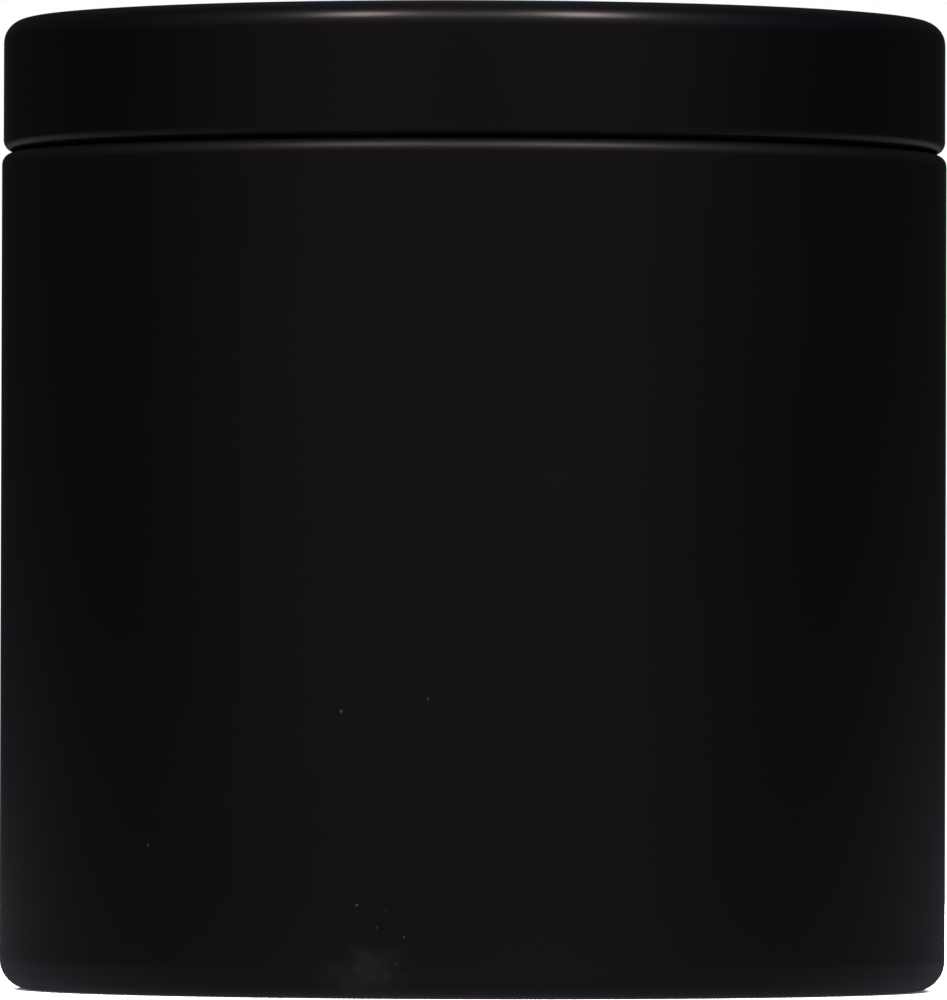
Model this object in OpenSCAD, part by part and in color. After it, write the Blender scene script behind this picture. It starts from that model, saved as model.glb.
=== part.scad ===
// Round candle tin with a flush slip lid, a cast wax fill and one wick.
// Millimetres, +Z up. The origin is the centre of the foot ring, on the table.
// Every sheet-metal piece is a revolved profile: an outline, less the same
// outline drawn one plate thickness further in.

/* [Tin] */
// Outside diameter of the can
body_d = 80; // [50:1:110]
// Height over all, with the lid on
total_h = 82; // [50:0.5:130]
// Thickness of the tinplate
plate = 0.25; // [0.2:0.05:0.35]
// Outside radius where the wall turns into the base
base_corner = 2.6; // [1.5:0.1:5]
// Outside radius where the wall turns in towards the neck
shoulder_r = 1; // [0.6:0.1:1.5]

/* [Base] */
// Width of the flat ring that the tin stands on
foot_flat = 2.5; // [1:0.1:6]
// How far the base panel stands above the table
base_rise = 1.2; // [1:0.1:2.5]
// Bend radius at the edge of the base panel
base_bend = 0.5; // [0.4:0.05:0.5]

/* [Lid] */
// Height of the lid, from the hem to the top
lid_h = 11.2; // [9:0.05:20]
// How far the lid's skirt stands in from the can's wall
lid_setback = 0.13; // [0:0.01:0.3]
// Outside radius of the lid's top edge
lid_corner = 2; // [1:0.1:3]
// Radius of the hem that is rolled inwards
hem_r = 1; // [0.7:0.05:1.3]
// Depth of the panel pressed into the lid's top
panel_depth = 0.8; // [0.8:0.1:2]
// Bend radius at the edge of the lid's panel
panel_bend = 0.4; // [0.3:0.05:0.4]

/* [Neck and fit] */
// Radius of the rim that is rolled inwards at the mouth
rim_r = 0.8; // [0.6:0.05:1.2]
// Bend radius where the shoulder turns up into the neck
neck_root = 0.6; // [0.3:0.05:0.7]
// Gap between the hem and the neck it slides over
neck_clear = 0.25; // [0.15:0.05:0.5]
// Gap between the hem and the shoulder below it
seam_gap = 0.1; // [0.05:0.05:0.5]
// Gap between the mouth's rim and the lid's top
rim_gap = 0.15; // [0.1:0.05:1]
// Gap between the mouth's rim and the step of the lid's panel inside it
panel_clear = 1.3; // [0.5:0.1:6]

/* [Wax] */
// Depth of the headspace, from the mouth down to the wax
headspace = 21.6; // [15:0.1:28]
// Gap that the wax leaves as it shrinks from the metal and the wick
wax_gap = 0.05; // [0.02:0.01:0.2]
// Radius of the curve in which the wax climbs the wall and the wick
meniscus = 1.2; // [0.5:0.1:2]
// How high the wax climbs
meniscus_rise = 0.7; // [0.2:0.05:0.9]

/* [Wick] */
// Outside diameter of the cotton braid
braid_d = 2.4; // [1.6:0.1:3.2]
// Diameter of the paper core
core_d = 0.9; // [0.5:0.05:1.2]
// Gap between the core and the braid
core_gap = 0.05; // [0.02:0.01:0.1]
// Length of the wick above the wax
wick_free = 6; // [4:0.5:8]

/* [Tab and sticker] */
// Diameter of the sustainer's disc
tab_d = 20; // [12:0.5:25]
// Thickness of the sustainer's plate
tab_plate = 0.3; // [0.2:0.05:0.4]
// Height of the sustainer, with its neck
tab_h = 6.5; // [4:0.5:10]
// Gap between the wick and the sustainer's neck
tab_clear = 0.05; // [0.02:0.01:0.1]
// Bend radius where the disc turns up into the neck
tab_root = 0.7; // [0.4:0.1:1]
// Depth of the four crimps in the neck
crimp = 0.12; // [0.05:0.01:0.14]
// Radius of the tool that presses the crimps
crimp_tool_r = 1; // [0.6:0.1:1.4]
// Diameter of the adhesive disc
sticker_d = 18; // [10:0.5:22]
// Thickness of the adhesive disc
sticker_t = 0.8; // [0.5:0.1:1.5]

/* [Hidden] */

$fn = 96;
turn_fn = 240;          // facets round the axis of every turned piece
past = 1;               // how far a cutting shape runs past what it cuts

body_r = body_d / 2;
lid_r = body_r - lid_setback;
neck_r = lid_r - 2 * hem_r - neck_clear;
wall_r = body_r - plate;               // inside of the can's wall

hem_z = total_h - lid_h;               // lowest point of the lid
shoulder_z = hem_z - seam_gap;         // top of the shoulder
mouth_z = total_h - plate - rim_gap;   // top of the can's rim
floor_z = base_rise + plate;           // upper face of the base panel

foot_r = body_r - base_corner - foot_flat - base_bend;      // edge of the base panel
panel_r = neck_r - 2 * rim_r - panel_clear - plate;         // edge of the lid's panel

tab_z = floor_z + sticker_t;           // underside of the sustainer
tab_bore = braid_d / 2 + tab_clear;
tab_neck_r = tab_bore + tab_plate;
wax_z = mouth_z - headspace;           // level of the wax
wick_top = wax_z + wick_free;

black_paint = [0.07, 0.07, 0.075];
soy_wax = [0.93, 0.89, 0.78];
cotton = [0.95, 0.94, 0.9];
paper = [0.88, 0.83, 0.72];
bare_tinplate = [0.72, 0.73, 0.74];
white_foam = [0.92, 0.92, 0.9];

// ---- profiles: x is the radius, y the height ----

// A block from the axis out to r, with its outer corners rounded
module slab(r, low, high, r_low, r_high) {
    difference() {
        translate([0, low]) square([r, high - low]);
        if (r_low > 0) translate([r - r_low, low + r_low]) mirror([0, 1]) spandrel(r_low);
        if (r_high > 0) translate([r - r_high, high - r_high]) spandrel(r_high);
    }
}

// What a rounded corner leaves of its square, the circle's centre at the origin
module spandrel(r) {
    difference() {
        square([r + past, r + past]);
        circle(r);
    }
}

// The fill of an inside corner, the corner at the origin and the circle beyond it
module fillet(r) {
    difference() {
        translate([-past, -past]) square([r + past, r + past]);
        translate([r, r]) circle(r);
        translate([r, -past]) square([past, 2 * past]);
    }
}

// A round recess in a top face, grown into the metal by grow
module dish(r, top, depth, bend, grow) {
    edge = bend - grow;
    slab(r + grow, top - depth - grow, top + past, bend + grow, 0);
    if (edge > 0)
        difference() {
            translate([r, top - grow - edge]) square([grow + edge, edge + past]);
            translate([r + bend, top - bend]) circle(edge);
        }
}

// The same recess turned over, in the face the tin stands on
module base_dish(grow) {
    mirror([0, 1]) dish(foot_r, 0, base_rise, base_bend, grow);
}

// The can's outline up to a height, drawn inset further in
module can_outline(inset, top) {
    shoulder = shoulder_z - inset;
    slab(body_r - inset, inset, shoulder, base_corner - inset, shoulder_r - inset);
    translate([0, shoulder - past]) square([neck_r - inset, top - shoulder + past]);
    translate([neck_r - inset, shoulder]) fillet(neck_root + inset);
}

// Three quarters of a rolled edge, its open quarter up and out
module curl(r) {
    difference() {
        circle(r);
        circle(r - plate);
        square([r + past, r + past]);
    }
}

// ---- metal ----

module tin_profile() {
    roll_z = mouth_z - rim_r;
    difference() {
        can_outline(0, roll_z);
        base_dish(0);
        difference() {
            can_outline(plate, roll_z + past);
            base_dish(plate);
        }
    }
    translate([neck_r - rim_r, roll_z]) mirror([0, 1]) curl(rim_r);
}

module tin_body() {
    color(black_paint) rotate_extrude($fn = turn_fn) tin_profile();
}

module lid_profile() {
    roll_z = hem_z + hem_r;
    difference() {
        slab(lid_r, roll_z, total_h, 0, lid_corner);
        dish(panel_r, total_h, panel_depth, panel_bend, 0);
        difference() {
            slab(lid_r - plate, roll_z - past, total_h - plate, 0, lid_corner - plate);
            dish(panel_r, total_h, panel_depth, panel_bend, plate);
        }
    }
    translate([lid_r - hem_r, roll_z]) curl(hem_r);
}

module lid() {
    color(black_paint) rotate_extrude($fn = turn_fn) lid_profile();
}

// ---- candle ----

// The wick's sustainer and sticker as one outline, grown by grow
module tab_outline(grow) {
    translate([0, floor_z - past]) square([sticker_d / 2 + grow, sticker_t + past]);
    translate([0, tab_z - grow]) square([tab_d / 2 + grow, tab_plate + 2 * grow]);
    square([tab_neck_r + grow, tab_z + tab_h + grow]);
}

module wax_profile() {
    rim = wall_r - wax_gap;
    wick = braid_d / 2 + wax_gap;
    root = tab_root - wax_gap;
    difference() {
        slab(rim, plate + wax_gap, wax_z, base_corner - plate - wax_gap, 0);
        base_dish(plate + wax_gap);
        tab_outline(wax_gap);
        translate([tab_neck_r + wax_gap, tab_z + tab_plate + wax_gap]) fillet(root);
        square([wick, wax_z + past]);
    }
    translate([wick, wax_z]) meniscus_ring();
    translate([rim, wax_z]) mirror([1, 0]) meniscus_ring();
}

// The wax that climbs an upright face at x = 0
module meniscus_ring() {
    rise = min(meniscus_rise, 0.8 * meniscus);
    difference() {
        translate([0, -past]) square([meniscus, rise + past]);
        translate([meniscus, meniscus]) circle(meniscus);
    }
}

module wax() {
    color(soy_wax) rotate_extrude($fn = turn_fn) wax_profile();
}

module wick_braid() {
    hole = core_d / 2 + core_gap;
    color(cotton) difference() {
        translate([0, 0, tab_z]) cylinder(r = braid_d / 2, h = wick_top - tab_z);
        translate([0, 0, tab_z - past]) cylinder(r = hole, h = wick_top - tab_z + 2 * past);
    }
}

module wick_core() {
    color(paper) translate([0, 0, tab_z]) cylinder(d = core_d, h = wick_top - tab_z);
}

module tab_profile() {
    disc_top = tab_z + tab_plate;
    difference() {
        union() {
            translate([0, tab_z]) square([tab_d / 2, tab_plate]);
            translate([0, tab_z]) square([tab_neck_r, tab_h]);
            intersection() {
                translate([tab_neck_r, disc_top]) fillet(tab_root);
                translate([0, disc_top]) square([tab_d / 2, tab_root]);
            }
        }
        translate([0, tab_z - past]) square([tab_bore, tab_h + 2 * past]);
    }
}

// Four shallow rounds pressed into the neck, one on each side
module wick_tab() {
    crimp_z = tab_z + tab_h - 1.5 * crimp_tool_r;
    color(bare_tinplate) difference() {
        rotate_extrude() tab_profile();
        for (side = [0:3])
            rotate([0, 0, 90 * side])
                translate([tab_neck_r + crimp_tool_r - crimp, 0, crimp_z])
                    rotate([90, 0, 0])
                        cylinder(r = crimp_tool_r, h = 2 * tab_neck_r, center = true);
    }
}

module wick_sticker() {
    color(white_foam) translate([0, 0, floor_z]) cylinder(d = sticker_d, h = sticker_t);
}

tin_body();
lid();
wax();
wick_braid();
wick_core();
wick_tab();
wick_sticker();
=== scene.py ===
# %% [markdown]
# # A black candle tin, and the candle inside it
# The real object is a can drawn from one sheet of tinplate, with a lid that slips over its neck.
# Inside are a cast of soy wax, a braided wick and the small metal foot that holds the wick up.
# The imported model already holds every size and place, so this lesson only gives each piece its
# true surface: folded sheet with rolled edges, wax, cotton, paper and foam.

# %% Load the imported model
import math

import bpy
from mathutils import Euler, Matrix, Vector


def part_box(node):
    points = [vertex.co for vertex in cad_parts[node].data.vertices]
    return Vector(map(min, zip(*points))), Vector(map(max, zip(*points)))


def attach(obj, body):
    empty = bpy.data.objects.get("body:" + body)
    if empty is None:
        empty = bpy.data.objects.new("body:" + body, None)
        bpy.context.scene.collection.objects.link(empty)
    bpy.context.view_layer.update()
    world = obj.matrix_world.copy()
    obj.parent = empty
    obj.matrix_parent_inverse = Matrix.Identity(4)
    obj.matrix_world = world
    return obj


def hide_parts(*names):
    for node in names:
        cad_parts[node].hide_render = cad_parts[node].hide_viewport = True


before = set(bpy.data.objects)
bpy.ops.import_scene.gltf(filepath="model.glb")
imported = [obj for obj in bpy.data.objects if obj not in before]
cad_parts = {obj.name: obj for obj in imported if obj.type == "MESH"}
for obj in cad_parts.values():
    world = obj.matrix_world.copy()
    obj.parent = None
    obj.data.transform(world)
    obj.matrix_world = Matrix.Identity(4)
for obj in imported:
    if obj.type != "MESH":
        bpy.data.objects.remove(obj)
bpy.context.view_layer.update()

# %% [markdown]
# ## Sizes
# Lengths are in metres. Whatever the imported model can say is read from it, node by node, so the
# pieces made here always land on it. A box can't say how thick a sheet is or how tightly its edge
# is rolled, so those few values are named here once.

# %% Sizes read from the model
MM = 0.001

tin_high = Vector(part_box("tin_body")[1])
wax_high = Vector(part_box("wax")[1])
lid_low, lid_high = map(Vector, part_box("lid"))
braid_low, braid_high = map(Vector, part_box("wick_braid"))
core_low, core_high = map(Vector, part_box("wick_core"))
tab_low, tab_high = map(Vector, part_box("wick_tab"))
sticker_low, sticker_high = map(Vector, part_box("wick_sticker"))

body_r = tin_high.x
mouth_z = tin_high.z
lid_r = lid_high.x
lid_top = lid_high.z
hem_z = lid_low.z
print(f"can {2000 * body_r:.1f} mm across, lid {2000 * lid_r:.1f} mm, {1000 * lid_top:.1f} mm tall")

# %% Sizes of the sheet and its bends
plate = 0.25 * MM
base_corner = 2.6 * MM
shoulder_bend = 1.0 * MM
foot_flat = 2.5 * MM
base_rise = 1.2 * MM
base_bend = 0.5 * MM
lid_corner = 2.0 * MM
hem_roll = 1.0 * MM
rim_roll = 0.8 * MM
neck_root = 0.6 * MM
neck_clear = 0.25 * MM
seam_gap = 0.1 * MM
panel_depth = 0.8 * MM
panel_bend = 0.4 * MM
panel_clear = 1.3 * MM
headspace = 21.6 * MM

neck_r = lid_r - 2 * hem_roll - neck_clear
shoulder_z = hem_z - seam_gap
foot_r = body_r - base_corner - foot_flat - base_bend
panel_r = neck_r - 2 * rim_roll - panel_clear - plate
print(f"neck {2000 * neck_r:.1f} mm across, shoulder {1000 * shoulder_z:.2f} mm up")

# %% [markdown]
# ## Camera
# A long lens from more than a metre away flattens a round tin almost to a rectangle, so only the
# curve of the seam and of the two rims shows that it's round. The camera stands a little above
# the table and looks slightly up, which is how the lid's top edge comes to arch and the foot to sag.

# %% Camera
camera_far = 1208.8 * MM
camera_up = 25.2 * MM
camera_pitch = 0.771
camera_roll = 0.168
camera_lens = 513.8
sensor_width = 36

camera = bpy.data.objects.new("camera", bpy.data.cameras.new("camera"))
bpy.context.scene.collection.objects.link(camera)
camera.data.lens = camera_lens
camera.data.sensor_width = sensor_width
camera.data.clip_start = 0.05
camera.data.clip_end = 20
camera.location = (0.01 * MM, -camera_far, camera_up)
look = Euler((math.radians(90 + camera_pitch), 0, 0)).to_matrix()
camera.rotation_euler = (look @ Euler((0, 0, math.radians(camera_roll))).to_matrix()).to_euler()
bpy.context.scene.camera = camera
print("camera", [round(v, 4) for v in camera.location], "lens", camera.data.lens)

# %% [markdown]
# ## Arithmetic with wires
# Both materials and geometry trees are node graphs, and most of their nodes are sums. Written as
# nodes, a sum of three terms is a dozen lines. Here a *wire* is an output socket that can be added
# and multiplied like a number, and a *bench* is a tree that nodes are put down on. The reflected
# forms let a plain number stand on the left, so `1 - mask` works too.

# %% A wire and a bench
class Wire:
    """An output socket that takes part in sums."""

    def __init__(self, bench, socket):
        self.bench = bench
        self.socket = socket

    def __getitem__(self, output):
        return Wire(self.bench, self.socket.node.outputs[output])

    def maths(self, operation, values):
        kind = "ShaderNodeMath" if self.socket.type in ("VALUE", "INT") else "ShaderNodeVectorMath"
        return self.bench.put(kind, {"operation": operation}, dict(enumerate(values)))

    def sum_with(self, operation, *others):
        return self.maths(operation, (self, *others))

    def after(self, operation, other):
        return self.maths(operation, (other, self))

    def __add__(self, other):
        return self.sum_with("ADD", other)

    def __sub__(self, other):
        return self.sum_with("SUBTRACT", other)

    def __rsub__(self, other):
        return self.after("SUBTRACT", other)

    def __mul__(self, other):
        return self.sum_with("MULTIPLY", other)

    def __truediv__(self, other):
        return self.sum_with("DIVIDE", other)

    def __rtruediv__(self, other):
        return self.after("DIVIDE", other)

    def __pow__(self, other):
        return self.sum_with("POWER", other)

    __radd__ = __add__
    __rmul__ = __mul__

    def fade(self, low, high):
        """Rises smoothly from 0 at low to 1 at high, or falls where low is the higher one."""
        return self.bench.put("ShaderNodeMapRange", {"interpolation_type": "SMOOTHSTEP"},
                              {"Value": self, "From Min": low, "From Max": high})


class Bench:
    """A node tree, with one way to put any node on it."""

    def __init__(self, tree):
        self.tree = tree

    def put(self, kind, settings=None, values=None):
        node = self.tree.nodes.new(kind)
        for name, value in (settings or {}).items():
            setattr(node, name, value)
        for name, value in (values or {}).items():
            self.join(value, node.inputs[name])
        outputs = [socket for socket in node.outputs if socket.enabled]
        return Wire(self, outputs[0]) if outputs else node

    def join(self, value, socket):
        if isinstance(value, Wire):
            self.tree.links.new(value.socket, socket)
        elif socket.type in ("VECTOR", "RGBA") and isinstance(value, (int, float)):
            socket.default_value = [value] * len(socket.default_value)
        else:
            socket.default_value = value

    def blend(self, factor, first, second):
        """A colour between two, through a Mix node."""
        return self.put("ShaderNodeMix", {"data_type": "RGBA"},
                        {0: factor, 6: colour(first), 7: colour(second)})

    def noise(self, where, scale, detail=2.0, roughness=0.5):
        return self.put("ShaderNodeTexNoise", None,
                        {"Vector": where, "Scale": scale, "Detail": detail, "Roughness": roughness})


def colour(value):
    """A colour with its alpha, where three numbers were given."""
    return value if isinstance(value, Wire) or len(value) == 4 else (*value, 1.0)


# %% [markdown]
# ## Stage
# The floor is a plain pale sheet that fades out into the pale surroundings, so no edge or horizon
# shows. A black glossy object is drawn by what it reflects, so the floor and the surroundings are
# shown pale but reflected dim: that split keeps the coat black on a white ground, as a studio does
# with black cards held just outside the picture.

# %% Floor
floor_half = 0.9
floor_centre = (0.0, 0.22)
floor_reach = (0.36, 0.31)
floor_reflected = (0.08, 0.077, 0.085)
floor_shown = (4.6, 4.6, 4.6)
floor_glow, front_glow, foot_glow = 0.088, 0.07, 0.07
foot_spot = (0, -0.05, 0)
foot_spot_half = 0.035

floor_mesh = bpy.data.meshes.new("floor")
floor_mesh.from_pydata([(-floor_half, -floor_half, 0), (floor_half, -floor_half, 0),
                        (floor_half, floor_half, 0), (-floor_half, floor_half, 0)], [], [(0, 1, 2, 3)])
floor = bpy.data.objects.new("floor", floor_mesh)
bpy.context.scene.collection.objects.link(floor)

floor_material = bpy.data.materials.new("pale_floor")
floor_material.use_nodes = True
floor_material.node_tree.nodes.clear()
bench = Bench(floor_material.node_tree)
place = bench.put("ShaderNodeTexCoord")["Object"]
spread = (place - (*floor_centre, 0)) / (*floor_reach, 1)
reach = spread.sum_with("LENGTH")["Value"]
to_camera = bench.put("ShaderNodeLightPath")["Is Camera Ray"]
seen_from_below = bench.put("ShaderNodeNewGeometry")["Backfacing"]
shade = bench.blend(to_camera, floor_reflected, floor_shown)
lit = bench.put("ShaderNodeBsdfDiffuse", None, {"Color": shade})
in_front = bench.put("ShaderNodeSeparateXYZ", None, {0: place})["Y"].fade(0.0, -0.12)
at_foot = ((place - foot_spot) / foot_spot_half).sum_with("LENGTH")["Value"].fade(1.0, 0.0)
glowing = bench.put("ShaderNodeEmission", None, {
    "Color": (0.95, 0.92, 1.08, 1),
    "Strength": floor_glow + in_front * front_glow + at_foot * foot_glow})
surface = bench.put("ShaderNodeAddShader", None, {0: lit, 1: glowing})
nothing = bench.put("ShaderNodeBsdfTransparent")
cover = reach.fade(1.0, 0.8) * (1 - seen_from_below)
sheet = bench.put("ShaderNodeMixShader", None, {0: cover, 1: nothing, 2: surface})
bench.put("ShaderNodeOutputMaterial", None, {"Surface": sheet})
floor_mesh.materials.append(floor_material)
print("floor fades out", floor_reach, "m from", floor_centre)

# %% Surroundings
glow_all_round = 0.011
glow_front, glow_beside_front, glow_high_front = 0.037, 0.028, 0.17
glow_behind, glow_overhead, glow_below = 0.05, 0.08, 0.08
rosy, bluish = (1.0, 0.88, 0.9), (0.97, 0.92, 1.1)

world = bpy.data.worlds.new("studio")
bpy.context.scene.world = world
world.use_nodes = True
world.node_tree.nodes.clear()
bench = Bench(world.node_tree)
way = bench.put("ShaderNodeTexCoord")["Generated"]
split = bench.put("ShaderNodeSeparateXYZ", None, {0: way})
front = (split["Y"] * -1 - split["X"] * 0.08).fade(0.0, 0.95)
behind = split["Y"].fade(0.95, 0.99)
aside = split["X"].sum_with("ABSOLUTE").fade(0.02, 0.3)
raised = split["Z"].fade(0.08, 0.45) * split["Z"].fade(1.0, 0.8)
overhead = split["Z"].fade(0.35, 0.8) * split["X"].sum_with("ABSOLUTE").fade(0.5, 0.1)
wide_front = (split["Y"] * -1).fade(-0.35, 0.65)
below = (split["Z"] * -1).fade(0.03, 0.4)
glow = glow_all_round + front * (glow_front + aside * glow_beside_front)
glow = glow + wide_front * raised * glow_high_front
glow = glow + behind * glow_behind + overhead * glow_overhead + below * glow_below
tint = bench.blend(split["X"].fade(-0.8, 0.8), rosy, bluish)
dim = bench.put("ShaderNodeBackground", None, {"Color": tint, "Strength": glow})
pale = bench.put("ShaderNodeBackground", None, {"Color": (1, 1, 1, 1), "Strength": 1.0})
to_camera = bench.put("ShaderNodeLightPath")["Is Camera Ray"]
shown = bench.put("ShaderNodeMixShader", None, {0: to_camera, 1: dim, 2: pale})
bench.put("ShaderNodeOutputWorld", None, {"Surface": shown})
bpy.context.scene.view_settings.view_transform = "Standard"
print("surroundings: white to the camera, dim to the tin")

# %% [markdown]
# ## Lights
# Two tall soft boxes stand high in front, one on each side of the camera. The lid's rounded edge
# works like a cylinder mirror and draws them as two bright lobes, and a wide faint panel between
# them fills the dip. A pair behind only fills: it lights what is matt, such as the wax, and isn't
# mirrored by the lacquer.

# %% Lights
light_far = 2.5
box_wide, box_tall = 0.32, 0.65
fill_side = 0.8


def soft_box(name, azimuth, elevation, wide, tall, radiance):
    """A rectangle that lights the tin; azimuth 0 is in front, and positive is to the right."""
    data = bpy.data.lights.new(name, "AREA")
    data.color = (1.0, 0.86, 0.87)
    data.shape = "RECTANGLE"
    data.size = wide
    data.size_y = tall
    data.energy = radiance * math.pi * wide * tall
    box = bpy.data.objects.new(name, data)
    bpy.context.scene.collection.objects.link(box)
    aside, up = math.radians(azimuth), math.radians(elevation)
    away = Vector((math.sin(aside) * math.cos(up), -math.cos(aside) * math.cos(up), math.sin(up)))
    box.location = Vector((0, 0, lid_top)) + away * light_far
    box.rotation_euler = away.to_track_quat("Z", "Y").to_euler()
    box.visible_camera = False
    return box


soft_box("front_box_left", -34, 46.5, box_wide, box_tall, 20.0)
soft_box("front_box_right", 32, 46.5, box_wide, box_tall, 25.0)
soft_box("front_panel", 0, 46, 1.1, 0.6, 1.3)
for side in (-1, 1):
    fill = soft_box(f"back_fill_{side}", 180 + 45 * side, 38, fill_side, fill_side, 10.0)
    fill.visible_glossy = False

# %% [markdown]
# ## The black coat
# The tin is lacquered black and baked. Close up such a coat isn't even: it has a fine grain that
# blurs reflections, a slow unevenness like orange peel, a slightly polished look on the edges that
# hands and other tins rub, a few specks of dust and a faint smear near the foot. Each is a mask
# worked out from the place on the object, so it stays put when the tin is turned. On the drawn
# bend of the shoulder a second, softer gloss lies over the first, which the shader's coat gives.

# %% Material bench
def new_finish(name):
    """A material with an empty tree, and its bench."""
    material = bpy.data.materials.new(name)
    material.use_nodes = True
    material.node_tree.nodes.clear()
    return material, Bench(material.node_tree)


def close_finish(bench, height, depth, values):
    """Adds the bump and the shader: height is a mask, depth how many metres it stands."""
    bump = bench.put("ShaderNodeBump", None, {"Strength": 1.0, "Distance": depth, "Height": height})
    shader = bench.put("ShaderNodeBsdfPrincipled", None, {**values, "Normal": bump})
    bench.put("ShaderNodeOutputMaterial", None, {"Surface": shader})


# %% Black coat
def black_lacquer(name, dullness, gloss, bend_z):
    """The lacquer at a roughness and a gloss level, softer over the drawn bend below bend_z."""
    material, bench = new_finish(name)
    place = bench.put("ShaderNodeTexCoord")["Object"]
    spot = bench.put("ShaderNodeSeparateXYZ", None, {0: place})
    from_axis = (spot["X"] * spot["X"] + spot["Y"] * spot["Y"]) ** 0.5

    grain = bench.noise(place, 5200, 3, 0.6)
    peel = bench.noise(place, 420, 1)
    cloud = bench.noise(place, 38, 3)
    handled = bench.noise(place, 120, 4, 0.65).fade(0.45, 0.75)

    on_hem = ((spot["Z"] - (hem_z + 0.3 * MM)) / (0.7 * MM)).sum_with("ABSOLUTE").fade(1.0, 0.2)
    on_foot = (spot["Z"] / (1.0 * MM)).fade(1.0, 0.2)
    on_rim = (spot["Z"] - (lid_top - 0.25 * MM)).fade(0, 0.2 * MM)
    rubbed = (on_hem + on_foot + on_rim * from_axis.fade(panel_r, panel_r + 1 * MM)) * handled
    on_bend = ((spot["Z"] - bend_z + 0.6 * MM) / (0.6 * MM)).sum_with("ABSOLUTE").fade(1.0, 0.4)

    dusty_far = (place - (-7.0 * MM, -39.4 * MM, 6.5 * MM)) / (7 * MM, 8 * MM, 5 * MM)
    dusty = dusty_far.sum_with("LENGTH")["Value"].fade(1.0, 0.3)
    ragged = place + bench.noise(place, 3500, 1)["Color"] * (0.12 * MM)
    speck = 0.0
    for scale, everywhere, in_patch, wide in ((560.0, 0.006, 0.0, 0.11), (1300.0, 0.0, 0.3, 0.2)):
        dust = bench.put("ShaderNodeTexVoronoi", {"feature": "F1"}, {"Vector": ragged, "Scale": scale})
        draw = bench.put("ShaderNodeSeparateColor", None, {0: dust["Color"]})
        landed = (draw["Red"] + dusty * in_patch).fade(1 - everywhere, 1.001 - everywhere)
        landed = landed * (0.2 + draw["Green"] * 0.8)
        speck = dust["Distance"].fade(wide, wide / 3) * landed + speck

    strayed = (bench.noise(place, 420, 3)["Color"] - (0.5, 0.5, 0.5)) * (5 * MM)
    smear_far = (place + strayed - (-8.7 * MM, -39.0 * MM, 1.4 * MM)) / (4.2 * MM, 9 * MM, 3.4 * MM)
    smear = smear_far.sum_with("LENGTH")["Value"].fade(1.1, 0.0)
    smear = smear * (0.55 + bench.noise(place, 1100, 4, 0.6).fade(0.35, 0.75) * 0.6)

    tone = bench.blend(cloud, (0.0050, 0.0046, 0.0064), (0.0068, 0.0063, 0.0085))
    tone = bench.blend(rubbed * 0.3, tone, (0.022, 0.021, 0.021))
    tone = bench.blend(smear * 0.75, tone, (0.05, 0.048, 0.05))
    tone = bench.blend(speck, tone, (0.19, 0.185, 0.18))
    dull = dullness + (cloud - 0.5) * 0.06 + (grain - 0.5) * 0.05
    dull = dull + on_bend * 0.07 + smear * 0.12 + speck * 0.3 - rubbed * 0.05
    relief = grain * 0.35 + peel + speck * 0.4
    close_finish(bench, relief, 0.006 * MM, {
        "Base Color": tone, "Roughness": dull, "IOR": 1.5, "Specular IOR Level": gloss,
        "Coat Weight": on_bend * 0.35, "Coat Roughness": 0.5})
    print(f"{name}: {len(material.node_tree.nodes)} nodes")
    return material


can_coat = black_lacquer("can_coat", 0.37, 0.4, shoulder_z)
lid_coat = black_lacquer("lid_coat", 0.29, 0.5, 0.0)

# %% [markdown]
# ## Bare tinplate
# The inside of the can and of the lid has no lacquer. Tinplate is steel with a thin layer of tin:
# bright and slightly warm. The press leaves fine lines up the wall where it drew the sheet, and
# the mill leaves a grain that runs one way across it. Both are plain noise, squeezed small across
# the line and stretched along it: the first along the axis, and the second along Y.

# %% Bare tinplate
bare_tinplate, bench = new_finish("bare_tinplate")
place = bench.put("ShaderNodeTexCoord")["Object"]
drawn = bench.noise(place * (1, 1, 0.02), 1500, 4, 0.7)
rolled = bench.noise(place * (1, 0.06, 1), 900, 3, 0.6)
stain = bench.noise(place, 60, 4, 0.6).fade(0.4, 0.8)
tone = bench.blend(rolled, (0.55, 0.55, 0.54), (0.66, 0.66, 0.64))
tone = bench.blend(stain * 0.5, tone, (0.47, 0.45, 0.41))
dull = 0.24 + drawn * 0.12 + stain * 0.1
close_finish(bench, drawn, 0.004 * MM, {"Base Color": tone, "Metallic": 1.0, "Roughness": dull})
print("bare tinplate:", len(bare_tinplate.node_tree.nodes), "nodes")

# %% [markdown]
# ## Folding a strip of sheet
# Cut the tin in half and its wall is one thin strip, bent here and there. A brake operator would
# describe it as a list of moves: so far straight on, then so many degrees at such a radius. The
# `Strip` below takes exactly that list. It walks with the lacquered face on its right, and the
# radius is always measured on that face, so both faces follow from one walk.

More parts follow.
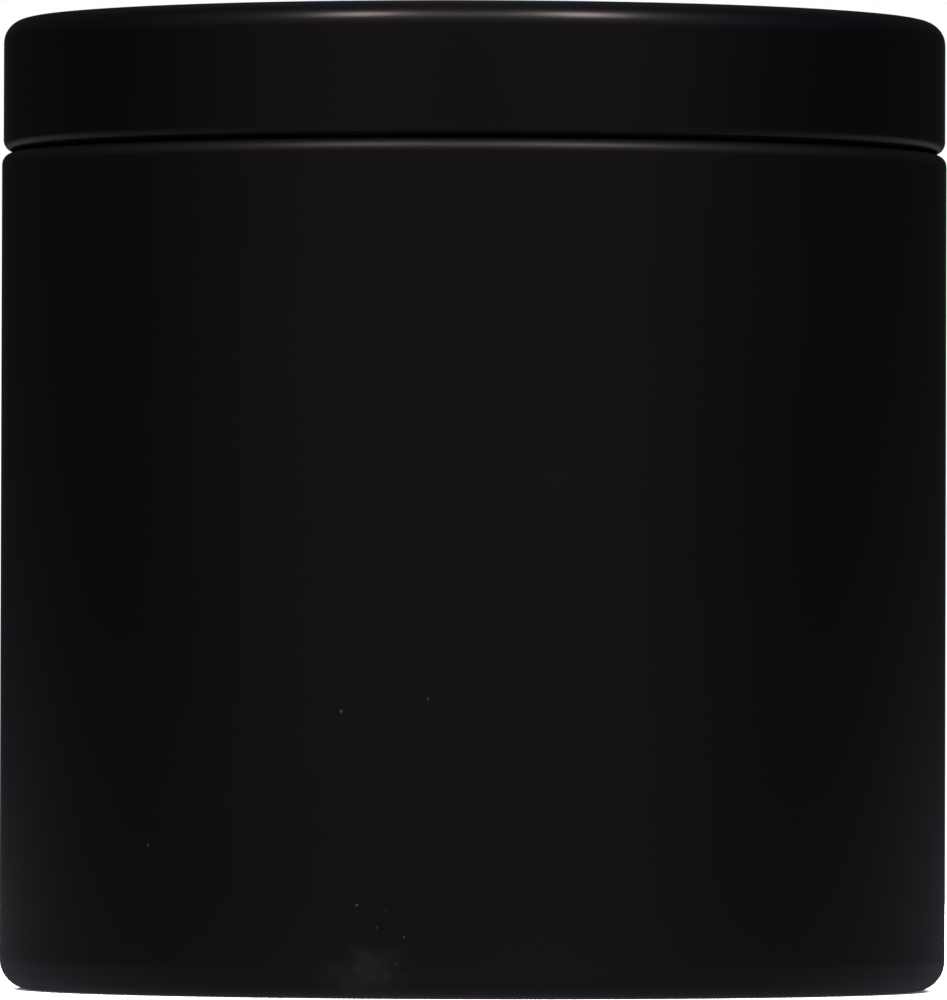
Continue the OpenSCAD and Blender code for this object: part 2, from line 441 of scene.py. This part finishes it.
# %% A strip that walks and bends
class Strip:
    """A walk in the plane of radius and height that leaves a row of marks behind it."""

    degrees_a_mark = 9
    guard = 0.06 * MM

    def __init__(self, r, z, heading):
        self.r, self.z, self.heading = r, z, heading
        self.marks = []
        self.mark()

    def mark(self):
        ahead = math.radians(self.heading)
        self.marks.append((self.r, self.z, math.sin(ahead), -math.cos(ahead)))

    def straight(self, length, pieces=1):
        """Goes on, with a mark close to each end so that a bend's shading stays in the bend."""
        if length <= 0:
            return self
        ahead = math.radians(self.heading)
        r, z = self.r, self.z
        guard = min(self.guard, length / 4)
        stops = [guard, *(length * n / pieces for n in range(1, pieces)), length - guard, length]
        for stop in stops:
            self.r = r + stop * math.cos(ahead)
            self.z = z + stop * math.sin(ahead)
            self.mark()
        return self

    def bend(self, degrees, radius):
        """Turns left by degrees, or right where they are negative, on an arc of that radius."""
        side = 1 if degrees > 0 else -1
        ahead = math.radians(self.heading)
        centre_r = self.r - side * radius * math.sin(ahead)
        centre_z = self.z + side * radius * math.cos(ahead)
        count = max(2, math.ceil(abs(degrees) / self.degrees_a_mark))
        for _ in range(count):
            self.heading += degrees / count
            ahead = math.radians(self.heading)
            self.r = centre_r + side * radius * math.sin(ahead)
            self.z = centre_z - side * radius * math.cos(ahead)
            self.mark()
        return self

    def corner(self, degrees):
        """Turns on the spot."""
        self.heading += degrees
        return self

    def sheet(self, thickness):
        """Both faces as one outline, each point with 1 on the lacquered face and 0 inside."""
        outer = [(r, z, 1.0) for r, z, _, _ in self.marks]
        inner = [(r - across * thickness, z - up * thickness, 0.0) for r, z, across, up in self.marks]
        outline = outer + inner[::-1]
        return outline if outer[0][0] < 1e-6 else outline + outer[:1]

    def solid(self):
        """The walk itself as an outline, closed where it doesn't start on the axis."""
        outline = [(r, z, 1.0) for r, z, _, _ in self.marks]
        return outline if outline[0][0] < 1e-6 else outline + outline[:1]


# %% The can's strip
can_strip = Strip(0, base_rise, 0)
can_strip.straight(foot_r - base_bend)
can_strip.bend(-90, base_bend)
can_strip.straight(base_rise - 2 * base_bend)
can_strip.bend(90, base_bend)
can_strip.straight(foot_flat)
can_strip.bend(90, base_corner)
can_strip.straight(shoulder_z - shoulder_bend - base_corner)
can_strip.bend(90, shoulder_bend)
can_strip.straight(body_r - shoulder_bend - neck_r - neck_root)
can_strip.bend(-90, neck_root)
can_strip.straight(mouth_z - rim_roll - shoulder_z - neck_root)
can_strip.bend(270, rim_roll)
print("can strip:", len(can_strip.marks), "marks, ends at",
      f"r {1000 * can_strip.r:.2f} z {1000 * can_strip.z:.2f} mm")

# %% The lid's strip
lid_strip = Strip(lid_r - hem_roll, hem_z + 2 * hem_roll, 180)
lid_strip.bend(270, hem_roll)
lid_strip.straight(lid_top - lid_corner - hem_z - hem_roll)
lid_strip.bend(90, lid_corner)
lid_strip.straight(lid_r - lid_corner - panel_r - panel_bend)
lid_strip.bend(90, panel_bend)
lid_strip.straight(panel_depth - 2 * panel_bend)
lid_strip.bend(-90, panel_bend)
lid_strip.straight(panel_r - panel_bend)
print("lid strip:", len(lid_strip.marks), "marks, ends at",
      f"r {1000 * lid_strip.r:.2f} z {1000 * lid_strip.z:.2f} mm")

# %% [markdown]
# ## A lathe made of nodes
# Nearly every piece here is turned: the can, the lid, the wax, the sustainer and the sticker. One
# geometry tree turns any outline. It lays out a flat grid with one row for each point of the
# outline, then moves each grid point to its outline point, swung round the axis. The steps round
# the axis and the two finishes are inputs, so one tree serves every piece.

# %% Geometry bench
def new_tree(name, inputs):
    """A geometry tree with named inputs after its mesh, and its bench."""
    tree = bpy.data.node_groups.new(name, "GeometryNodeTree")
    tree.interface.new_socket("Mesh", in_out="INPUT", socket_type="NodeSocketGeometry")
    tree.interface.new_socket("Mesh", in_out="OUTPUT", socket_type="NodeSocketGeometry")
    for label, kind in inputs.items():
        tree.interface.new_socket(label, in_out="INPUT", socket_type=f"NodeSocket{kind}")
    return tree, Bench(tree)


def close_tree(bench, mesh):
    """Hands the finished mesh to the tree's output."""
    bench.put("NodeGroupOutput", None, {"Mesh": mesh})


def make_piece(name, tree, values, outline=()):
    """Runs the tree over an outline and keeps the result as a plain mesh at the origin."""
    seed = bpy.data.meshes.new(name)
    edges = [(n, n + 1) for n in range(len(outline) - 1)]
    seed.from_pydata([(r, 0, z) for r, z, _ in outline], edges, [])
    if outline:
        coat = seed.attributes.new("coat", "FLOAT", "POINT")
        coat.data.foreach_set("value", [mark for _, _, mark in outline])
    piece = bpy.data.objects.new(name, seed)
    bpy.context.scene.collection.objects.link(piece)
    modifier = piece.modifiers.new(name, "NODES")
    modifier.node_group = tree
    for item in tree.interface.items_tree:
        if item.item_type == "SOCKET" and item.in_out == "INPUT" and item.name in values:
            modifier[item.identifier] = values[item.name]
    depsgraph = bpy.context.evaluated_depsgraph_get()
    made = bpy.data.meshes.new_from_object(piece.evaluated_get(depsgraph), depsgraph=depsgraph)
    piece.modifiers.clear()
    piece.data = made
    made.name = name
    bpy.data.meshes.remove(seed)
    print(f"{name}: {len(made.vertices)} points, {len(made.polygons)} faces")
    return piece


# %% The lathe
lathe, bench = new_tree("lathe", {
    "Steps": "Int", "Coated": "Material", "Bare": "Material", "Ripple": "Float"})
given = bench.put("NodeGroupInput")
rows = bench.put("GeometryNodeAttributeDomainSize", None, {"Geometry": given["Mesh"]})
columns = given["Steps"] + 1
grid = bench.put("GeometryNodeMeshGrid", None, {"Vertices X": rows, "Vertices Y": columns})
number = bench.put("GeometryNodeInputIndex")
row = (number / columns).sum_with("FLOOR")
column = number - row * columns
outline_point = bench.put("GeometryNodeInputPosition")
corner = bench.put("GeometryNodeSampleIndex", {"data_type": "FLOAT_VECTOR"},
                   {"Geometry": given["Mesh"], "Value": outline_point, "Index": row})
coat_there = bench.put("GeometryNodeInputNamedAttribute", {"data_type": "FLOAT"}, {"Name": "coat"})
coated = bench.put("GeometryNodeSampleIndex", {"data_type": "FLOAT"},
                   {"Geometry": given["Mesh"], "Value": coat_there, "Index": row})
flat = bench.put("ShaderNodeSeparateXYZ", None, {0: corner})
round_by = column * (-2 * math.pi) / given["Steps"]
turned = bench.put("ShaderNodeCombineXYZ", None, {
    0: flat["X"] * round_by.sum_with("COSINE"), 1: flat["X"] * round_by.sum_with("SINE"),
    2: flat["Z"]})
kept = bench.put("GeometryNodeStoreNamedAttribute", {"data_type": "FLOAT", "domain": "POINT"},
                 {"Geometry": grid, "Name": "coat", "Value": coated})
shell = bench.put("GeometryNodeSetPosition", None, {"Geometry": kept, "Position": turned})
shell = bench.put("GeometryNodeMergeByDistance", None, {"Geometry": shell, "Distance": 1e-6})
marked = bench.put("GeometryNodeInputNamedAttribute", {"data_type": "FLOAT"}, {"Name": "coat"})
uneven = bench.put("ShaderNodeTexNoise", None, {"Scale": 70.0, "Detail": 2.0})
rise = bench.put("ShaderNodeCombineXYZ", None, {"Z": (uneven - 0.5) * marked * given["Ripple"]})
shell = bench.put("GeometryNodeSetPosition", None, {"Geometry": shell, "Offset": rise})
shell = bench.put("GeometryNodeSetShadeSmooth", None, {0: shell, "Shade Smooth": True})
shell = bench.put("GeometryNodeRealizeInstances", None, {"Geometry": shell})
shell = bench.put("GeometryNodeSetMaterial", None, {"Geometry": shell, "Material": given["Coated"]})
side = bench.put("GeometryNodeInputNamedAttribute", {"data_type": "FLOAT"}, {"Name": "coat"})
inside = bench.put("FunctionNodeCompare", {"operation": "LESS_THAN"}, {0: side, 1: 0.75})
shell = bench.put("GeometryNodeSetMaterial", None,
                  {"Geometry": shell, "Selection": inside, "Material": given["Bare"]})
close_tree(bench, shell)
print("lathe tree:", len(lathe.nodes), "nodes")

# %% Can and lid
around = 256


def finish_piece(piece, body, node):
    """Sets a piece to ride on its body, in place of its node."""
    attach(piece, body)
    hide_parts(node)


tin_metal = {"Steps": around, "Coated": can_coat, "Bare": bare_tinplate}
can_shell = make_piece("can_shell", lathe, tin_metal, can_strip.sheet(plate))
finish_piece(can_shell, "tin", "tin_body")

lid_metal = {"Steps": around, "Coated": lid_coat, "Bare": bare_tinplate}
lid_shell = make_piece("lid_shell", lathe, lid_metal, lid_strip.sheet(plate))
finish_piece(lid_shell, "lid", "lid")

# %% [markdown]
# ## Soy wax
# The candle is cast in the can, so its sides and its underside are the can's own inside, a hair
# smaller because wax shrinks as it sets. The walk for the can already knows that shape: its marks
# are moved inwards by the plate and the gap. The top is new: it climbs the wall and the wick in a
# small curve, the *meniscus*, and between them it sets not quite flat. In the middle the walk goes
# round the wick's foot, because the wax was poured over it.

# %% Wax finish
soy_wax, bench = new_finish("soy_wax")
place = bench.put("ShaderNodeTexCoord")["Object"]
frost = bench.noise(place, 210, 5, 0.7).fade(0.42, 0.62)
bloom = bench.noise(place, 45, 3).fade(0.35, 0.7)
grainy = bench.noise(place, 2600, 4, 0.65)
bubble = bench.put("ShaderNodeTexVoronoi", {"feature": "F1"}, {"Vector": place, "Scale": 240.0})
burst = bench.put("ShaderNodeSeparateColor", None, {0: bubble["Color"]})["Red"].fade(0.9, 0.92)
pinhole = bubble["Distance"].fade(0.1, 0.04) * burst
tone = bench.blend(bloom, (0.84, 0.77, 0.60), (0.89, 0.83, 0.68))
tone = bench.blend(frost * 0.45, tone, (0.93, 0.90, 0.80))
# The pinholes are sunk by the bump and also darkened in colour: painted shade inside the small pits.
tone = bench.blend(pinhole * 0.5, tone, (0.55, 0.46, 0.32))
dull = 0.38 + frost * 0.22 + (grainy - 0.5) * 0.1
relief = grainy * 0.25 + frost * 0.35 - pinhole * 1.6
close_finish(bench, relief, 0.03 * MM, {
    "Base Color": tone, "Roughness": dull, "IOR": 1.44, "Subsurface Weight": 0.35,
    "Subsurface Radius": (1.0, 0.72, 0.42), "Subsurface Scale": 0.0025})
print("soy wax:", len(soy_wax.node_tree.nodes), "nodes")

# %% Wax outline
wax_gap = 0.05 * MM
meniscus = 1.2 * MM
climb = wax_high.z - mouth_z + headspace
wax_z = wax_high.z - climb
wax_r = wax_high.x
wick_hole_r = braid_high.x + wax_gap
print(f"wax level {1000 * wax_z:.2f} mm, climbs {1000 * climb:.2f} mm")

crest = meniscus - math.sqrt(meniscus ** 2 - (meniscus - climb) ** 2)
slope = math.degrees(math.acos(1 - climb / meniscus))
level_pieces = 36
wax_top = Strip(wax_r, wax_high.z, 180)
wax_top.straight(crest)
wax_top.corner(slope)
wax_top.bend(-slope, meniscus)
wax_top.straight(wax_r - wick_hole_r - 2 * meniscus, level_pieces)
wax_top.bend(-slope, meniscus)
wax_top.corner(slope)
wax_top.straight(crest)
top_marks = [(r, z, 1.0) for r, z, _, _ in wax_top.marks]

inset = plate + wax_gap
under_marks = [(r - across * inset, z - up * inset, 0.0)
               for r, z, across, up in can_strip.marks
               if r > sticker_high.x + wax_gap and z < wax_z]
neck_of_tab_r = 1.55 * MM
tab_plate = 0.3 * MM
tab_root = 0.7 * MM
around_tab = Strip(wick_hole_r, wax_high.z, 270)
around_tab.straight(wax_high.z - tab_high.z - wax_gap)
around_tab.corner(90)
around_tab.straight(neck_of_tab_r - braid_high.x)
around_tab.corner(-90)
around_tab.straight(tab_high.z - tab_low.z - tab_plate - tab_root)
around_tab.bend(90, tab_root - wax_gap)
around_tab.straight(tab_high.x + wax_gap - around_tab.r)
around_tab.corner(-90)
around_tab.straight(around_tab.z - tab_low.z + wax_gap)
around_tab.corner(-90)
around_tab.straight(around_tab.r - sticker_high.x - wax_gap)
around_tab.corner(90)
around_tab.straight(around_tab.z - sticker_low.z - wax_gap)
tab_marks = [(r, z, 0.0) for r, z, _, _ in around_tab.marks]
wax_outline = top_marks + tab_marks + under_marks + top_marks[:1]

# %% Wax
wax_values = {"Steps": around, "Coated": soy_wax, "Bare": soy_wax, "Ripple": 0.16 * MM}
wax_fill = make_piece("wax_fill", lathe, wax_values, wax_outline)
finish_piece(wax_fill, "tin", "wax")

# %% [markdown]
# ## Braided wick
# A candle wick is a tube of cotton yarns braided round a paper core. Half the yarns wind to the
# right and half to the left, and each goes over one and under the next. That is a rule, so a node
# tree can weave it: one straight line is copied once for each yarn, and every point of a copy is
# swung round the axis while its distance from the axis swells and shrinks as it dips under others.

# %% Yarn finish
cotton_yarn, bench = new_finish("cotton_yarn")
place = bench.put("ShaderNodeTexCoord")["Object"]
fibre = bench.noise(place * (1, 1, 0.25), 16000, 3, 0.6)
waxed = bench.noise(place, 900, 3).fade(0.4, 0.65)
tone = bench.blend(fibre, (0.62, 0.58, 0.48), (0.84, 0.81, 0.73))
tone = bench.blend(waxed * 0.4, tone, (0.86, 0.81, 0.68))
dull = 0.85 - waxed * 0.3
close_finish(bench, fibre, 0.03 * MM, {"Base Color": tone, "Roughness": dull})
print("cotton yarn:", len(cotton_yarn.node_tree.nodes), "nodes")

# %% Braid tree
braid, bench = new_tree("braid", {
    "Yarns": "Int", "Marks": "Int", "Bottom": "Float", "Top": "Float", "Lead": "Float",
    "Ring": "Float", "Weave": "Float", "Thick": "Float", "Wide": "Float", "Fuzz": "Int",
    "Yarn": "Material"})
given = bench.put("NodeGroupInput")
foot = bench.put("ShaderNodeCombineXYZ", None, {"Z": given["Bottom"]})
tip = bench.put("ShaderNodeCombineXYZ", None, {"Z": given["Top"]})
line = bench.put("GeometryNodeCurvePrimitiveLine", None, {"Start": foot, "End": tip})
line = bench.put("GeometryNodeResampleCurve", None, {"Curve": line, "Count": given["Marks"]})
copies = bench.put("GeometryNodeDuplicateElements", {"domain": "SPLINE"},
                   {"Geometry": line, "Amount": given["Yarns"] * 2})
count = copies["Duplicate Index"]
pair = (count / 2).sum_with("FLOOR")
way = 1 - (count - pair * 2) * 2
here = bench.put("ShaderNodeSeparateXYZ", None, {0: bench.put("GeometryNodeInputPosition")})
turn = (here["Z"] - given["Bottom"]) * (2 * math.pi) / given["Lead"]
angle = way * turn + pair * (2 * math.pi) / given["Yarns"]
dip = (turn * given["Yarns"]).sum_with("COSINE") * way * given["Weave"]
outward = bench.put("ShaderNodeCombineXYZ", None, {
    "X": angle.sum_with("COSINE"), "Y": angle.sum_with("SINE")})
woven_at = bench.put("ShaderNodeVectorMath", {"operation": "SCALE"},
                     {0: outward, "Scale": given["Ring"] + dip})
lifted = bench.put("ShaderNodeCombineXYZ", None, {"Z": here["Z"]})
woven = bench.put("GeometryNodeSetCurveNormal", {"mode": "FREE"},
                  {"Curve": copies["Geometry"], "Normal": outward})
woven = bench.put("GeometryNodeSetPosition", None, {"Geometry": woven, "Position": woven_at + lifted})
round_yarn = bench.put("GeometryNodeCurvePrimitiveCircle", None, {"Resolution": 8, "Radius": 1.0})
flat_yarn = bench.put("ShaderNodeCombineXYZ", None, {
    "X": given["Thick"] * 0.5, "Y": given["Wide"] * 0.5, "Z": 1.0})
flat_yarn = bench.put("GeometryNodeTransform", None, {"Geometry": round_yarn, "Scale": flat_yarn})
yarns = bench.put("GeometryNodeCurveToMesh", None,
                  {"Curve": woven, "Profile Curve": flat_yarn, "Fill Caps": True})

# %% Loose fibres at the tip
def random_value(bench, low, high, seed):
    """One random number for each element, always the same for the same seed."""
    return bench.put("FunctionNodeRandomValue", {"data_type": "FLOAT"},
                     {"Min": low, "Max": high, "Seed": seed})


spread_r = random_value(bench, 0.45 * MM, 1.05 * MM, 3)
spread_a = random_value(bench, 0.0, 2 * math.pi, 4)
root = bench.put("ShaderNodeCombineXYZ", None, {
    "X": spread_r * spread_a.sum_with("COSINE"), "Y": spread_r * spread_a.sum_with("SINE"),
    "Z": given["Top"] - 0.3 * MM})
roots = bench.put("GeometryNodePoints", None, {"Count": given["Fuzz"], "Position": root})
hair = bench.put("GeometryNodeCurvePrimitiveLine", None, {"End": (0, 0, 0.75 * MM)})
hair = bench.put("GeometryNodeResampleCurve", None, {"Curve": hair, "Count": 5})
lean = bench.put("ShaderNodeCombineXYZ", None, {
    "X": random_value(bench, -0.7, 0.7, 5), "Y": random_value(bench, -0.7, 0.7, 6)})
hairs = bench.put("GeometryNodeInstanceOnPoints", None, {
    "Points": roots, "Instance": hair, "Rotation": lean, "Scale": random_value(bench, 0.6, 1.3, 7)})
hairs = bench.put("GeometryNodeRealizeInstances", None, {"Geometry": hairs})
drift = bench.put("ShaderNodeTexNoise", {"noise_dimensions": "3D"}, {"Scale": 1500.0})["Color"]
along = bench.put("GeometryNodeSplineParameter")["Factor"]
wander = bench.put("ShaderNodeVectorMath", {"operation": "SCALE"},
                   {0: drift - (0.5, 0.5, 0.5), "Scale": along * (0.8 * MM)})
hairs = bench.put("GeometryNodeSetPosition", None, {"Geometry": hairs, "Offset": wander})
thread = bench.put("GeometryNodeCurvePrimitiveCircle", None, {"Resolution": 4, "Radius": 0.02 * MM})
hairs = bench.put("GeometryNodeCurveToMesh", None,
                  {"Curve": hairs, "Profile Curve": thread, "Fill Caps": True})
whole = bench.put("GeometryNodeJoinGeometry", None, {"Geometry": yarns})
bench.join(hairs, whole.socket.node.inputs["Geometry"])
whole = bench.put("GeometryNodeSetShadeSmooth", None, {0: whole, "Shade Smooth": True})
whole = bench.put("GeometryNodeRealizeInstances", None, {"Geometry": whole})
close_tree(bench, bench.put("GeometryNodeSetMaterial", None,
                            {"Geometry": whole, "Material": given["Yarn"]}))
print("braid tree:", len(braid.nodes), "nodes")

# %% Braid
yarn_thick = 0.38 * MM
weave = 0.14 * MM
braid_values = {
    "Yarns": 6, "Marks": 420, "Bottom": braid_low.z, "Top": braid_high.z, "Lead": 9.5 * MM,
    "Ring": braid_high.x - weave - yarn_thick / 2, "Weave": weave, "Thick": yarn_thick,
    "Wide": 0.74 * MM, "Fuzz": 46, "Yarn": cotton_yarn}
wick_yarns = make_piece("wick_yarns", braid, braid_values)
finish_piece(wick_yarns, "tin", "wick_braid")

# %% [markdown]
# ## Paper core
# The core that keeps the wick upright is a strip of paper twisted to a cord. Three blunt lobes in
# its section, turned steadily along its length, give the twist. A curve's *tilt* does the turning:
# the section is drawn once, and the tilt carries it round.

# %% Paper finish
core_paper, bench = new_finish("core_paper")
place = bench.put("ShaderNodeTexCoord")["Object"]
pulp = bench.noise(place, 7000, 4, 0.7)
tone = bench.blend(pulp, (0.56, 0.48, 0.34), (0.74, 0.67, 0.53))
close_finish(bench, pulp, 0.02 * MM, {"Base Color": tone, "Roughness": 0.85 + (pulp - 0.5) * 0.2})
print("core paper:", len(core_paper.node_tree.nodes), "nodes")

# %% Twist tree
twist, bench = new_tree("twist", {
    "Marks": "Int", "Bottom": "Float", "Top": "Float", "Lead": "Float", "Radius": "Float",
    "Lobe": "Float", "Paper": "Material"})
given = bench.put("NodeGroupInput")
foot = bench.put("ShaderNodeCombineXYZ", None, {"Z": given["Bottom"]})
tip = bench.put("ShaderNodeCombineXYZ", None, {"Z": given["Top"]})
line = bench.put("GeometryNodeCurvePrimitiveLine", None, {"Start": foot, "End": tip})
line = bench.put("GeometryNodeResampleCurve", None, {"Curve": line, "Count": given["Marks"]})
along = bench.put("GeometryNodeSplineParameter")["Length"]
line = bench.put("GeometryNodeSetCurveTilt", None,
                 {"Curve": line, "Tilt": along * (2 * math.pi) / given["Lead"]})
section_points, lobe_count = 24, 3
section = bench.put("GeometryNodeCurvePrimitiveCircle", None,
                    {"Resolution": section_points, "Radius": given["Radius"]})
lobe_step = 2 * math.pi * lobe_count / section_points
lobes = (bench.put("GeometryNodeInputIndex") * lobe_step).sum_with("COSINE")
shape = bench.put("ShaderNodeVectorMath", {"operation": "SCALE"}, {
    0: bench.put("GeometryNodeInputPosition"), "Scale": 1 + (lobes - 1) * given["Lobe"]})
section = bench.put("GeometryNodeSetPosition", None, {"Geometry": section, "Position": shape})
cord = bench.put("GeometryNodeCurveToMesh", None,
                 {"Curve": line, "Profile Curve": section, "Fill Caps": True})
cord = bench.put("GeometryNodeSetShadeSmooth", None, {0: cord, "Shade Smooth": True})
cord = bench.put("GeometryNodeRealizeInstances", None, {"Geometry": cord})
close_tree(bench, bench.put("GeometryNodeSetMaterial", None,
                            {"Geometry": cord, "Material": given["Paper"]}))
print("twist tree:", len(twist.nodes), "nodes")

# %% Core
core_values = {
    "Marks": 320, "Bottom": core_low.z, "Top": core_high.z, "Lead": 4.5 * MM,
    "Radius": core_high.x, "Lobe": 0.08, "Paper": core_paper}
paper_cord = make_piece("paper_cord", twist, core_values)
finish_piece(paper_cord, "tin", "wick_core")

# %% [markdown]
# ## Sustainer and sticker
# The wick stands in a small tinplate foot, the *sustainer*: a disc with a neck drawn up in its
# middle, nipped on four sides to grip the wick. The disc and the neck are one more strip. The nips
# are pressed in afterwards, exactly as at the bench, by pushing back every point that the rounded
# tool would reach. A foam sticker under the disc holds it to the can's floor.

# %% Sustainer
tab_strip = Strip(tab_high.x, tab_low.z + tab_plate, 180)
tab_strip.straight(tab_high.x - neck_of_tab_r - tab_root, 6)
tab_strip.bend(-90, tab_root)
tab_strip.straight(tab_high.z - tab_low.z - tab_plate - tab_root, 24)
tab_metal = {"Steps": 96, "Coated": bare_tinplate, "Bare": bare_tinplate}
sustainer = make_piece("sustainer", lathe, tab_metal, tab_strip.sheet(tab_plate))

tool_r = 1.0 * MM
nip = 0.12 * MM
nip_z = tab_high.z - 1.5 * tool_r
for point in sustainer.data.vertices:
    off = abs(point.co.z - nip_z)
    if off < tool_r:
        reach = neck_of_tab_r + tool_r - nip - math.sqrt(tool_r ** 2 - off ** 2)
        point.co.x = max(-reach, min(reach, point.co.x))
        point.co.y = max(-reach, min(reach, point.co.y))
finish_piece(sustainer, "tin", "wick_tab")

# %% Foam finish
sticker_foam, bench = new_finish("sticker_foam")
place = bench.put("ShaderNodeTexCoord")["Object"]
cells = bench.put("ShaderNodeTexVoronoi", {"feature": "F1"}, {"Vector": place, "Scale": 4200.0})
cells = cells["Distance"]
tone = bench.blend(cells, (0.86, 0.86, 0.83), (0.70, 0.70, 0.66))
close_finish(bench, 1 - cells, 0.05 * MM, {"Base Color": tone, "Roughness": 0.75 + cells * 0.2})
print("sticker foam:", len(sticker_foam.node_tree.nodes), "nodes")

# %% Sticker
foam_half = (sticker_high.z - sticker_low.z) / 2
foam_strip = Strip(0, sticker_low.z, 0)
foam_strip.straight(sticker_high.x - foam_half, 8)
foam_strip.bend(180, foam_half)
foam_strip.straight(sticker_high.x - foam_half, 8)
foam_values = {"Steps": 96, "Coated": sticker_foam, "Bare": sticker_foam}
foam_sticker = make_piece("foam_sticker", lathe, foam_values, foam_strip.solid())
finish_piece(foam_sticker, "tin", "wick_sticker")
